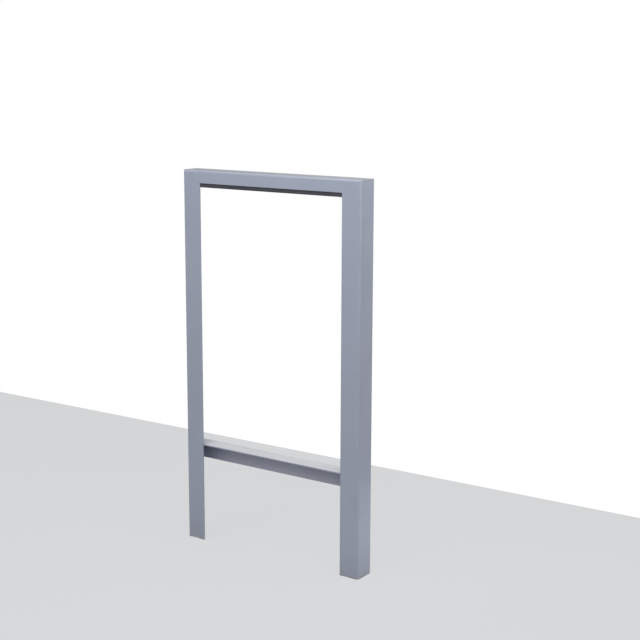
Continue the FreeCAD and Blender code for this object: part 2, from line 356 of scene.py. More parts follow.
@dataclass(frozen=True)
class PowderCoat(Finish):
    """Satin blue-grey powder coat, worn at its folds and lighter there as a painted highlight, with dust on
    the shelf and painted light in its ends, darker on the faces that point up as painted shade over
    weathering, with painted shade and light on the web, and earthy below the paving.

    Attributes:
        colour: The clean coat.
        deep: Its darker clouds.
        fleck: Its paler specks.
        dulled_and_shaded: The weather-worn coat, darker on the faces that point up as painted shade.
        polished_and_highlit: The coat where the folds are worn, lighter as a painted highlight.
        primer: What a chip lays bare.
        dust: The dust on the shelf, laid fully in its ends as painted light against their shade.
        web_light: The painted light on the web's lower half, pale with a purple tint.
        web_shade: The painted shade high on the web, under the shelf, with a purple tint.
        grime: The splashes from the paving.
        earth: The ground round the feet.
        mortar: The patches in that ground.
        roughness: The clean coat's roughness.
        smoothing: What rubbing takes from it.
        dulling: What dust, dirt and weather add to it.
        fold: How far the rubbing and its painted highlight reach from a fold.
        handled_and_highlit: The heights between which the worn folds' painted highlight grows.
        splash_height: How far up the splashes reach.
        web_shade_share: The most that the painted shade covers.
        web_light_share: The most that the painted light covers.
        peel: The height of the orange peel.
        wave: The height of the sheet's slow waves.
        chip: The depth of a chip.
        clod: The height of the earth.
    """

    name: ClassVar[str] = "powder_coat_finish"
    colour: Colour = (0.305, 0.335, 0.415)
    deep: Colour = (0.280, 0.310, 0.390)
    fleck: Colour = (0.3416, 0.3752, 0.4648)
    # Painted shade: a darker copy of the coat for the faces that point up, over their weathering.
    dulled_and_shaded: Colour = (0.272, 0.284, 0.320)
    # Painted highlight: a lighter copy of the coat for the worn folds.
    polished_and_highlit: Colour = (0.365, 0.390, 0.455)
    primer: Colour = (0.420, 0.420, 0.410)
    # Dust, which also paints light into the shelf's shaded ends.
    dust: Colour = (0.665, 0.672, 0.695)
    # Painted light with a purple tint, for the web's lower half.
    web_light: Colour = (0.700, 0.620, 0.740)
    # Painted shade with a purple tint, for the web under the shelf.
    web_shade: Colour = (0.170, 0.110, 0.145)
    grime: Colour = (0.170, 0.170, 0.170)
    earth: Colour = (0.165, 0.150, 0.132)
    mortar: Colour = (0.400, 0.390, 0.370)
    roughness: float = 0.42
    smoothing: float = 0.12
    dulling: float = 0.30
    fold: float = 3.4 * MM
    handled_and_highlit: tuple[float, float] = (0.45, 0.90)
    splash_height: float = 90.0 * MM
    web_shade_share: float = 0.34
    web_light_share: float = 0.15
    peel: float = 0.06 * MM
    wave: float = 0.60 * MM
    chip: float = 0.08 * MM
    clod: float = 1.00 * MM

    def surface(self, graph: Graph) -> Socket:
        """Lay the coat and, over it, what wears it, what lies on it, and the painted highlight, shade and
        light.

        Args:
            graph: An empty graph.

        Returns:
            The shader.
        """
        rubbed_and_highlit, chipped = self.wear_and_highlight(graph)
        dust_and_lit_ends, weathered_and_shaded = self.settled_light_and_shade(graph)
        splashed, web_shaded, web_light = self.soiled_light_and_shade(graph)
        buried, clods, ground = self.earthed(graph)
        caked = graph.times(buried, graph.ramp(clods, 0.35, 0.65, 0.45, 0.9))
        colour = self.clean(graph)
        for share, layer in (
            # Painted shade on the faces that point up, with their weathering.
            (weathered_and_shaded, self.dulled_and_shaded),
            # Painted highlight along the worn folds.
            (rubbed_and_highlit, self.polished_and_highlit),
            (chipped, self.primer),
            # Dust on the shelf, and painted light in its ends.
            (dust_and_lit_ends, self.dust),
            (splashed, self.grime),
            # Painted shade high on the web.
            (web_shaded, self.web_shade),
            # Painted light low on the web.
            (web_light, self.web_light),
            (caked, ground),
        ):
            colour = graph.mix(share, colour, layer)
        roughness = self.shine(graph, rubbed_and_highlit, graph.most(splashed, dust_and_lit_ends, weathered_and_shaded, buried))
        relief = graph.bump(graph.times(buried, clods), self.clod, 0.7, self.relief(graph, chipped))
        return graph.shader(Base_Color=colour, Roughness=roughness, Normal=relief, IOR=1.5)

    def clean(self, graph: Graph) -> Socket:
        """Colour the clean coat, with its clouds and specks.

        Args:
            graph: The graph.

        Returns:
            The colour.
        """
        clouds = graph.ramp(graph.noise(7.0, 3.0, 0.55), 0.35, 0.65, 0.0, 0.6)
        specks = graph.ramp(graph.noise(900.0, 1.0), 0.55, 0.8, 0.0, 0.35)
        return graph.mix(specks, graph.mix(clouds, self.colour, self.deep), self.fleck)

    def shine(self, graph: Graph, rubbed_and_highlit: Socket, dull: Socket) -> Socket:
        """Vary the roughness a little, and smooth or dull it.

        Args:
            graph: The graph.
            rubbed_and_highlit: How far the folds are worn and lightened as a painted highlight.
            dull: How far its roughness is raised.

        Returns:
            The roughness.
        """
        low, high = self.roughness - 0.05, self.roughness + 0.07
        patchy = graph.ramp(graph.noise(18.0, 3.0), 0.3, 0.7, low, high)
        smooth = graph.math("SUBTRACT", patchy, graph.times(rubbed_and_highlit, self.smoothing))
        return graph.math("ADD", smooth, graph.times(dull, self.dulling))

    def wear_and_highlight(self, graph: Graph) -> tuple[Socket, Socket]:
        """Find where the folds are worn and lightened as a painted highlight, and where the coat is chipped
        from them.

        A place's distance from each outer fold of the hoop's outline is worked out from its own
        coordinates, the left half counting as the right one.

        Args:
            graph: The graph.

        Returns:
            How far the folds are worn and lightened as a painted highlight, and how far the coat is
            chipped.
        """
        x, y, z = graph.axes(graph.place)
        beside = graph.math("SUBTRACT", graph.math("ABSOLUTE", x), RAIL_HIGH.x)
        before = graph.math("SUBTRACT", y, RAIL_LOW.y)
        above = graph.math("SUBTRACT", z, RAIL_HIGH.z)
        upright = graph.length(beside, before)
        nearest = graph.least(upright, graph.length(before, above), graph.length(beside, above))
        edge = graph.ramp(nearest, self.fold, 0.65 * self.fold)
        patches = graph.ramp(graph.noise(14.0, 3.0, 0.6), 0.35, 0.58, 0.25, 0.75)
        # Painted highlight: the worn folds grow lighter with height, strongest near the top.
        handled_and_highlit = graph.times(patches, graph.ramp(z, *self.handled_and_highlit, 0.1, 1.0))
        # Painted highlight: a lighter spot at the top outer corners, where the folds meet.
        tip = graph.ramp(graph.length(upright, above), 2.6 * self.fold, 1.2 * self.fold)
        chips = graph.ramp(graph.noise(210.0, 2.0, 0.6), 0.70, 0.73)
        rubbed_and_highlit = graph.times(edge, graph.most(handled_and_highlit, tip))
        return rubbed_and_highlit, graph.times(edge, chips, graph.ramp(graph.noise(9.0), 0.5, 0.6))

    def settled_light_and_shade(self, graph: Graph) -> tuple[Socket, Socket]:
        """Find where dust lies on the shelf, and where what faces up above it is worn by the weather and
        painted darker as shade.

        The dust lies in streaks along the shelf, and fully in its ends beside the legs, which paints light
        where their corners are in shade.

        Args:
            graph: The graph.

        Returns:
            The shares of the dust, with its painted light in the shelf's ends, and of the weather-worn coat
            with its painted shade.
        """
        along, _, height = graph.axes(graph.place)
        level = graph.ramp(graph.axes(graph.normal)[2], 0.75, 0.98)
        shelf = graph.ramp(height, SHELF_HIGH.z + 60.0 * MM, SHELF_HIGH.z + 5.0 * MM)
        open_air = graph.ramp(height, PAVING, PAVING + 5.0 * MM)
        streaks = graph.noise(1.0, 3.0, 0.55, graph.stretched(5.0, 260.0, 40.0))
        streaky = graph.ramp(streaks, 0.35, 0.65, 0.72, 0.95)
        reach = graph.math("ABSOLUTE", along)
        # Painted light: full dust in the shelf's ends, beside the legs, lightens their shade.
        ends = graph.ramp(reach, SHELF_HIGH.x - 60.0 * MM, SHELF_HIGH.x - 10.0 * MM)
        dust_and_lit_ends = graph.times(level, shelf, open_air, graph.most(streaky, ends))
        # Painted shade: faces that point up above the shelf take the darker weather-worn coat.
        return dust_and_lit_ends, graph.times(level, graph.math("SUBTRACT", 1.0, shelf))

    def soiled_light_and_shade(self, graph: Graph) -> tuple[Socket, Socket, Socket]:
        """Find where the paving splashes, and where light and shade are painted on the web's front.

        Painted shade darkens the web high up under the shelf, and painted light lightens its lower half.

        Args:
            graph: The graph.

        Returns:
            The shares of the splashes, the web's painted shade and the web's painted light.
        """
        _, depth, height = graph.axes(graph.place)
        reach = graph.ramp(height, PAVING + self.splash_height, PAVING + 5.0 * MM)
        drops = graph.ramp(graph.noise(60.0, 4.0), 0.35, 0.7, 0.05, 0.22)

        forward = graph.ramp(graph.axes(graph.normal)[1], -0.90, -0.99)
        web = graph.times(forward, graph.ramp(depth, 0.0, 10.0 * MM))
        low, high = SHELF_LOW.z, SHELF_HIGH.z
        # Painted shade: darker high up on the web, under the shelf.
        web_shade = graph.ramp(height, low + 15.0 * MM, high - 6.0 * MM, 0.0, self.web_shade_share)
        # Painted light: lighter towards the web's lower edge.
        web_light = graph.ramp(height, high - 14.0 * MM, low + 4.0 * MM, 0.0, self.web_light_share)
        return graph.times(reach, drops), graph.times(web, web_shade), graph.times(web, web_light)

    def earthed(self, graph: Graph) -> tuple[Socket, Socket, Socket]:
        """Find what is below the paving, and what ground lies on it.

        Args:
            graph: The graph.

        Returns:
            The buried share, the height of the clods and the ground's colour.
        """
        buried = graph.ramp(graph.axes(graph.place)[2], PAVING + 4.0 * MM, PAVING + 1.0 * MM)
        bed = graph.ramp(graph.noise(19.0, 4.0, 0.6), 0.48, 0.66)
        return buried, graph.noise(34.0, 5.0, 0.65), graph.mix(bed, self.earth, self.mortar)

    def relief(self, graph: Graph, chipped: Socket) -> Socket:
        """Give the coat its orange peel, the sheet's slow waves and the chips their depth.

        Args:
            graph: The graph.
            chipped: How far the coat is chipped.

        Returns:
            The normal.
        """
        peel = graph.bump(graph.noise(420.0, 1.5), self.peel, 0.5)
        wave = graph.bump(graph.noise(38.0, 1.0), self.wave, 0.25, peel)
        return graph.bump(graph.math("SUBTRACT", 1.0, chipped), self.chip, 1.0, wave)


@dataclass(frozen=True)
class ExtrudedRubber(Finish):
    """Matt black rubber, with the die's lines along it, saw marks on its ends and a grey bloom.

    Attributes:
        colour: The fresh rubber.
        bloom: The grey film on it.
        roughness: Its usual roughness.
        line: The depth of the die's lines.
        cut: The depth of the saw marks.
        grain: The depth of the finest grain.
    """

    name: ClassVar[str] = "buffer_rubber_finish"
    colour: Colour = (0.029, 0.030, 0.040)
    bloom: Colour = (0.080, 0.082, 0.103)
    roughness: float = 0.62
    line: float = 0.12 * MM
    cut: float = 0.20 * MM
    grain: float = 0.03 * MM

    def surface(self, graph: Graph) -> Socket:
        """Lay the bloom in clouds and along the lines, and press the lines, saw marks and grain in.

        Args:
            graph: An empty graph.

        Returns:
            The shader.
        """
        lines = graph.noise(1.0, 2.0, 0.5, graph.stretched(3.0, 900.0, 900.0))
        cloud = graph.noise(30.0, 4.0, 0.6)
        colour = graph.mix(graph.ramp(cloud, 0.4, 0.75, 0.0, 0.6), self.colour, self.bloom)
        colour = graph.mix(graph.ramp(lines, 0.5, 0.75, 0.0, 0.25), colour, self.bloom)
        low, high = self.roughness - 0.07, self.roughness + 0.12
        roughness = graph.ramp(cloud, 0.3, 0.7, low, high)

        end = graph.ramp(graph.math("ABSOLUTE", graph.axes(graph.normal)[0]), 0.9, 0.99)
        sawn = graph.times(end, graph.noise(1.0, 2.0, 0.6, graph.stretched(1.0, 60.0, 1500.0)))
        drawn = graph.bump(lines, self.line, 0.6)
        cut = graph.bump(sawn, self.cut, 0.8, drawn)
        grain = graph.bump(graph.noise(1400.0, 1.0), self.grain, 0.5, cut)
        return graph.shader(Base_Color=colour, Roughness=roughness, Normal=grain, IOR=1.5)


@dataclass(frozen=True)
class ZincPlate(Finish):
    """Bright zinc on steel fixings, with a dull bloom, and the lock nuts' nylon rings.

    Attributes:
        colour: The bright zinc.
        dull: Its bloom.
        nylon: The lock nuts' rings.
        roughness: The bright zinc's roughness.
        ring: The nylon's inner and outer radius.
        ring_top: The height that the nylon stays below.
        turning: The depth of the marks round the axis.
    """

    name: ClassVar[str] = "zinc_steel_finish"
    colour: Colour = (0.66, 0.67, 0.69)
    dull: Colour = (0.50, 0.50, 0.50)
    nylon: Colour = (0.72, 0.74, 0.76)
    roughness: float = 0.30
    ring: tuple[float, float] = (3.00 * MM, 3.92 * MM)
    ring_top: float = STUDS_LOW.z + 2.0 * MM
    turning: float = 0.02 * MM

    def surface(self, graph: Graph) -> Socket:
        """Lay the bloom on the zinc, and the nylon in the rings.

        Args:
            graph: An empty graph.

        Returns:
            The shader.
        """
        nylon = self.nylon_share(graph)
        cloud = graph.noise(240.0, 3.0, 0.6)
        zinc = graph.mix(graph.ramp(cloud, 0.4, 0.7), self.colour, self.dull)
        low, high = self.roughness - 0.04, self.roughness + 0.2
        marks = graph.noise(1.0, 2.0, 0.5, graph.stretched(200.0, 200.0, 5000.0))
        return graph.shader(
            Base_Color=graph.mix(nylon, zinc, self.nylon),
            Roughness=graph.math("ADD", graph.ramp(cloud, 0.3, 0.7, low, high), nylon),
            Normal=graph.bump(marks, self.turning, 0.5),
            Metallic=graph.math("SUBTRACT", 1.0, nylon),
        )

    def nylon_share(self, graph: Graph) -> Socket:
        """Find the nylon: inside the ring round the nearest stud's axis, below the nut's hexagon.

        Args:
            graph: The graph.

        Returns:
            1 on the nylon and 0 elsewhere.
        """
        x, y, z = graph.axes(graph.place)
        half = graph.math("ABSOLUTE", x)
        outer = graph.math("ABSOLUTE", graph.math("SUBTRACT", half, STUD_SPACING))
        radius = graph.length(graph.least(half, outer), graph.math("SUBTRACT", y, STUD_DEPTH))
        inside = graph.math("LESS_THAN", radius, self.ring[1])
        outside = graph.math("GREATER_THAN", radius, self.ring[0])
        return graph.times(inside, outside, graph.math("LESS_THAN", z, self.ring_top))


@dataclass(frozen=True)
class PaleFloor(Finish):
    """Plain pale ground that looks evenly lit and keeps a soft shadow.

    Attributes:
        albedo: What the lamps light.
        seen: The even colour that the camera sees.
        evenness: How much of that colour the camera sees.
    """

    name: ClassVar[str] = "pale_floor"
    albedo: Colour = (0.68, 0.68, 0.68)
    seen: Colour = (0.690, 0.698, 0.714)
    evenness: float = 0.87

    def surface(self, graph: Graph) -> Socket:
        """Let the ground shine a little by itself, for the camera's own rays.

        Args:
            graph: An empty graph.

        Returns:
            The shader.
        """
        camera_ray = graph.add("ShaderNodeLightPath").outputs["Is Camera Ray"]
        share = graph.times(camera_ray, self.evenness)
        lit = graph.shader("ShaderNodeBsdfDiffuse", Color=self.albedo)
        glow = graph.shader("ShaderNodeEmission", Color=self.seen)
        mixed = graph.add("ShaderNodeMixShader")
        for socket, value in zip(mixed.inputs, (share, lit, glow)):
            graph.put(socket, value)
        return mixed.outputs[0]


# Meshes


@dataclass(frozen=True)
class Skin:
    """A surface: its points, its four-sided faces and its triangles."""

    points: np.ndarray
    quads: np.ndarray
    triangles: np.ndarray

    def outward(self) -> "Skin":
        """Turn the faces round if they enclose a negative volume.

        The volume is a sixth of the sum, over the triangles, of a . (b x c).

        Returns:
            The same skin with its faces outward.
        """
        halves = (self.quads[:, [0, 1, 2]], self.quads[:, [0, 2, 3]], self.triangles)
        a, b, c = (self.points[np.concatenate(halves)][:, corner] for corner in range(3))
        if np.einsum("ij,ij->", a, np.cross(b, c)) >= 0.0:
            return self
        return Skin(self.points, self.quads[:, ::-1], self.triangles[:, ::-1])


def grid_quads(rows: int, columns: int, closed_rows: bool) -> np.ndarray:
    """Number the faces of a grid whose columns run round.

    The point in row r and column c has the number r * columns + c.

    Args:
        rows: Points along it.
        columns: Points round it.
        closed_rows: Whether the last row is joined to the first.

    Returns:
        Four point numbers for each face.
    """
    bands = rows if closed_rows else rows - 1
    row, column = np.meshgrid(np.arange(bands), np.arange(columns), indexing="ij")
    next_row, next_column = (row + 1) % rows, (column + 1) % columns
    corners = ((row, column), (row, next_column), (next_row, next_column), (next_row, column))
    return np.stack([r * columns + c for r, c in corners], axis=-1).reshape(-1, 4)


def spindle(grid: np.ndarray) -> Skin:
    """Close a grid whose first and last rows are drawn to a point.

    Args:
        grid: Rows along it, columns round it, and X, Y, Z.

    Returns:
        The skin, with one point for each end and a fan of triangles round it.
    """
    rows, columns, _ = grid.shape
    ring = np.arange(columns)
    first, last = np.zeros(columns, int), np.full(columns, (rows - 2) * columns + 1)
    start, end = 1 + ring, 1 + (rows - 3) * columns + ring
    opening = np.stack([first, np.roll(start, -1), start], axis=1)
    closing = np.stack([last, end, np.roll(end, -1)], axis=1)
    points = np.concatenate([grid[0, :1], grid[1:-1].reshape(-1, 3), grid[-1, :1]])
    quads = grid_quads(rows - 2, columns, False) + 1
    return Skin(points, quads, np.concatenate([opening, closing])).outward()


def hoop_skin(grid: np.ndarray) -> Skin:
    """Close a grid that runs round both ways.

    Args:
        grid: Rows, columns, and X, Y, Z.

    Returns:
        The skin.
    """
    rows, columns, _ = grid.shape
    quads = grid_quads(rows, columns, True)
    return Skin(grid.reshape(-1, 3), quads, np.zeros((0, 3), int)).outward()


def joined(skins: Sequence[Skin]) -> Skin:
    """Put several skins into one.

    Args:
        skins: The skins.

    Returns:
        One skin with all their points and faces.
    """
    starts = np.cumsum([0] + [len(skin.points) for skin in skins[:-1]])
    return Skin(
        np.concatenate([skin.points for skin in skins]),
        np.concatenate([skin.quads + start for skin, start in zip(skins, starts)]),
        np.concatenate([skin.triangles + start for skin, start in zip(skins, starts)]),
    )


def mesh_piece(name: str, skin: Skin, material: bpy.types.Material) -> bpy.types.Object:
    """Make an object from a skin, with its place in its mesh.

    Args:
        name: The object's name.
        skin: The skin, in metres.
        material: Its material.

    Returns:
        The object.
    """
    mesh = bpy.data.meshes.new(name)
    mesh.from_pydata(skin.points.tolist(), [], skin.quads.tolist() + skin.triangles.tolist())
    mesh.polygons.foreach_set("use_smooth", np.ones(len(mesh.polygons), bool))
    mesh.set_sharp_from_angle(angle=SMOOTH_UP_TO)
    mesh.update()
    mesh.materials.append(material)
    piece = bpy.data.objects.new(name, mesh)
    bpy.context.scene.collection.objects.link(piece)
    return piece


def dress_node(name: str, material: bpy.types.Material) -> None:
    """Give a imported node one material, and report it.

    Args:
        name: The node's name.
        material: The material.
    """
    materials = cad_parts[name].data.materials
    materials.clear()
    materials.append(material)
    LOG.info("%s: %s", name, material.name)


def place_piece(name: str, skin: Skin, material: bpy.types.Material) -> bpy.types.Object:
    """Make a new piece, let it ride on the hoop and report it.

    Args:
        name: The piece's name.
        skin: Its skin.
        material: Its material.

    Returns:
        The piece.
    """
    piece = mesh_piece(name, skin, material)
    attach(piece, BODY)
    LOG.info("%s: %d faces", name, len(piece.data.polygons))
    return piece


# Weld beads


def run(start: Point, end: Point, step: float = 0.25 * MM) -> np.ndarray:
    """Space points evenly from one to another, at start + u * (end - start).

    Args:
        start: The first point.
        end: The last point.
        step: The most that lies between two points.

    Returns:
        The points.
    """
    first, last = np.array(start), np.array(end)
    count = math.ceil(np.linalg.norm(last - first) / step) + 1
    return first + np.linspace(0.0, 1.0, count)[:, None] * (last - first)


@dataclass(frozen=True)
class Bead:
    """A weld bead along a path.

    Attributes:
        path: The points that it follows.
        across: The direction across it at each point.
        out: The direction that it stands out in at each point.
        half_width: Half its width.
        toe: How far its edges stand out.
        crown: How far its middle stands out beyond them.
        root: How far its underside stands out, negative for into the metal.
        pitch: The distance from one ripple to the next.
        ripple: How far the ripples stand out.
        lag: How far the ripples' ends lag behind their middle, in pitches.
        waves: The long and the short slow wave's length over 2 pi.
        unevenness: How much they change its size.
        columns: Points across it.
    """

    path: np.ndarray
    across: np.ndarray
    out: np.ndarray
    half_width: float
    toe: float
    crown: float
    root: float = -0.25 * MM
    pitch: float = 1.30 * MM
    ripple: float = 0.27 * MM
    lag: float = 0.55
    waves: tuple[float, float] = (9.0 * MM, 3.7 * MM)
    unevenness: float = 0.03
    columns: int = 13

    @classmethod
    def fillet(
        cls, path: np.ndarray, first: np.ndarray | Point, second: np.ndarray | Point, leg: float
    ) -> "Bead":
        """Lay a bead in a corner, with one leg on each wall.

        Args:
            path: The corner.
            first: The direction away from it in one wall.
            second: The direction away from it in the other.
            leg: How far it reaches on each wall.

        Returns:
            The bead.
        """
        one, other = (np.broadcast_to(np.array(wall), path.shape) for wall in (first, second))
        root2 = math.sqrt(2.0)
        across, out, half = (one - other) / root2, (one + other) / root2, leg / root2
        return cls(path, across, out, half_width=half, toe=half, crown=0.15 * leg)

    @classmethod
    def cap(cls, path: np.ndarray, across: Point, out: Point, width: float) -> "Bead":
        """Lay a low bead over a level joint.

        Args:
            path: The joint.
            across: The direction across it.
            out: The direction that it stands out in.
            width: Its width.

        Returns:
            The bead.
        """
        side, up = (np.broadcast_to(np.array(way), path.shape) for way in (across, out))
        return cls(path, side, up, half_width=0.5 * width, toe=-0.1 * MM, crown=0.25 * width)

    def skin(self, phase: float) -> Skin:
        """Work out the bead's surface.

        At a distance s along the path and v across, from -1 to 1, the crown stands out by
        toe + (1 - v^2) * (crown + ripple * |sin(pi * (s / pitch - lag * v^2))|), and it is
        half_width * v across. One more column is the root. Two slow waves,
        sin(s / long + phase) + 0.6 * sin(s / short + 2 * phase), change the section's size by a few
        hundredths, and over the last half width its scale is sqrt(1 - (1 - e)^2), where e is the
        share of that length that is left.

        Args:
            phase: Where its slow waves start.

        Returns:
            The skin.
        """
        steps = np.linalg.norm(np.diff(self.path, axis=0), axis=1)
        distance = np.concatenate([[0.0], np.cumsum(steps)])[:, None]
        left = np.minimum(distance, distance[-1] - distance) / self.half_width
        scale = np.sqrt(1.0 - (1.0 - np.clip(left, 0.0, 1.0)) ** 2)
        long, short = self.waves
        sway = np.sin(distance / long + phase) + 0.6 * np.sin(distance / short + 2.0 * phase)
        scale = scale * (1.0 + self.unevenness * sway)

        v = np.linspace(-1.0, 1.0, self.columns)[None, :]
        crescents = np.abs(np.sin(math.pi * (distance / self.pitch - self.lag * v**2)))
        rise = self.toe + (1.0 - v**2) * (self.crown + self.ripple * crescents)
        sideways = np.broadcast_to(self.half_width * v, rise.shape)
        rise = (scale * np.hstack([rise, np.full_like(distance, self.root)]))[..., None]
        sideways = (scale * np.hstack([sideways, np.zeros_like(distance)]))[..., None]
        return spindle(self.path[:, None] + sideways * self.across[:, None] + rise * self.out[:, None])


# Sub-assemblies


@dataclass
class FoldedFrame:
    """Two legs, the top rail and the cross rail, with the beads inside their corners.

    The mitres are ground flush, so no bead shows on the corners' outside.

    Attributes:
        coat: The powder coat.
        rail_leg: The leg of the fillets at the cross rail's ends.
        corner_leg: The leg of the fillets inside the top corners.
        seam_width: The width of the bead up the joint behind the web.
        margin: What each bead leaves free at its ends.
        nodes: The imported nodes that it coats.
    """

    coat: bpy.types.Material
    rail_leg: float = 3.0 * MM
    corner_leg: float = 2.4 * MM
    seam_width: float = 4.6 * MM
    margin: float = 2.0 * MM
    nodes: tuple[str, ...] = ("left_leg", "right_leg", "top_rail", "cross_rail")

    def rail_beads(self, side: Side) -> list[Bead]:
        """Lay the beads that join one end of the cross rail to its leg.

        One runs under the shelf, one down the front of the web, and one up the joint at the back.

        Args:
            side: Which end.

        Returns:
            The beads.
        """
        wall, inward = side.value * SHELF_HIGH.x, (-side.value, 0.0, 0.0)
        under, web, back = SHELF_HIGH.z - SHEET, SHELF_HIGH.y - SHEET, SHELF_HIGH.y
        bottom = SHELF_LOW.z + self.margin
        below = run((wall, SHELF_LOW.y + self.margin, under), (wall, web - self.margin, under))
        down = run((wall, web, under - self.margin), (wall, web, bottom))
        behind = run((wall, back, bottom), (wall, back, under - self.margin))
        return [
            Bead.fillet(below, (0.0, 0.0, -1.0), inward, self.rail_leg),
            Bead.fillet(down, (0.0, -1.0, 0.0), inward, self.rail_leg),
            Bead.cap(behind, inward, (0.0, 1.0, 0.0), self.seam_width),
        ]

    def corner_bead(self, side: Side) -> Bead:
        """Lay the bead in the corner of a leg's side face and the top rail's top face.

        Args:
            side: Which corner.

        Returns:
            The bead.
        """
        wall, roof = side.value * (RAIL_HIGH.x - SHEET), RAIL_HIGH.z - SHEET
        front, back = RAIL_LOW.y + SHEET + self.margin, RAIL_HIGH.y - self.margin
        corner = run((wall, front, roof), (wall, back, roof))
        return Bead.fillet(corner, (0.0, 0.0, -1.0), (-side.value, 0.0, 0.0), self.corner_leg)

    def build(self) -> None:
        """Coat the four strips and weld them."""
        for name in self.nodes:
            dress_node(name, self.coat)
        for side in Side:
            beads = [bead.skin(side.value + index) for index, bead in enumerate(self.rail_beads(side))]
            place_piece(f"{side.word}_cross_rail_weld", joined(beads), self.coat)
            corner = self.corner_bead(side).skin(2.0 * side.value)
            place_piece(f"{side.word}_corner_weld", corner, self.coat)


@dataclass
class Feet:
    """The two foot plates and the beads that hold the legs on them.

    Attributes:
        coat: The powder coat.
        fold_radius: The radius of the legs' folds, outside.
        outer_leg: The leg of the fillet round the outside of a leg.
        inner_leg: The leg of the two short ones inside it.
        stitch: The length of those two.
    """

    coat: bpy.types.Material
    fold_radius: float = 5.0 * MM
    outer_leg: float = 4.0 * MM
    inner_leg: float = 3.0 * MM
    stitch: float = 26.0 * MM

    def outline(self, side: Side) -> tuple[np.ndarray, np.ndarray]:
        """Follow a leg's outer face from its front edge round the fold to its back edge.

        At a distance s it is on the front face, then at an angle s / radius round the fold's centre,
        then on the side face, and its outward direction turns with it.

        Args:
            side: Which leg.

        Returns:
            Points on the plate, and the directions outwards.
        """
        low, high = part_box(f"{side.word}_leg")
        radius, width, depth = self.fold_radius, high.x - low.x, high.y - low.y
        face, turn = width - radius, 0.5 * math.pi * radius
        distance = run((0.0, 0.0, 0.0), (face + turn + depth - radius, 0.0, 0.0))[:, 0]
        angle = np.clip((distance - face) / radius, 0.0, 0.5 * math.pi)
        outward = np.stack([np.sin(angle), -np.cos(angle), np.zeros_like(angle)], axis=1)
        x = face + np.minimum(distance - face, 0.0) + radius * outward[:, 0]
        y = low.y + radius * (1.0 + outward[:, 1]) + np.maximum(distance - face - turn, 0.0)
        inner = RAIL_HIGH.x - width
        mirror = np.array([side.value, 1.0, 1.0])
        return np.stack([inner + x, y, np.full_like(x, low.z)], axis=1) * mirror, outward * mirror

    def beads(self, side: Side) -> list[Bead]:
        """Lay a leg's outer bead and the two short ones inside it.

        Args:
            side: Which leg.

        Returns:
            The beads.
        """
        low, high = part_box(f"{side.word}_leg")
        path, outward = self.outline(side)
        up = (0.0, 0.0, 1.0)
        front, wall = low.y + SHEET, side.value * (RAIL_HIGH.x - SHEET)
        middle = 0.5 * (low.x + high.x)
        half = 0.5 * self.stitch
        across = run((middle - half, front, low.z), (middle + half, front, low.z))
        along = run((wall, -half, low.z), (wall, half, low.z))
        return [
            Bead.fillet(path, up, outward, self.outer_leg),
            Bead.fillet(across, up, (0.0, 1.0, 0.0), self.inner_leg),
            Bead.fillet(along, up, (-side.value, 0.0, 0.0), self.inner_leg),
        ]

    def build(self) -> None:
        """Coat the plates and weld the legs to them."""
        for side in Side:
            dress_node(f"{side.word}_foot_plate", self.coat)
            beads = [bead.skin(1.7 * side.value + index) for index, bead in enumerate(self.beads(side))]
            place_piece(f"{side.word}_foot_weld", joined(beads), self.coat)


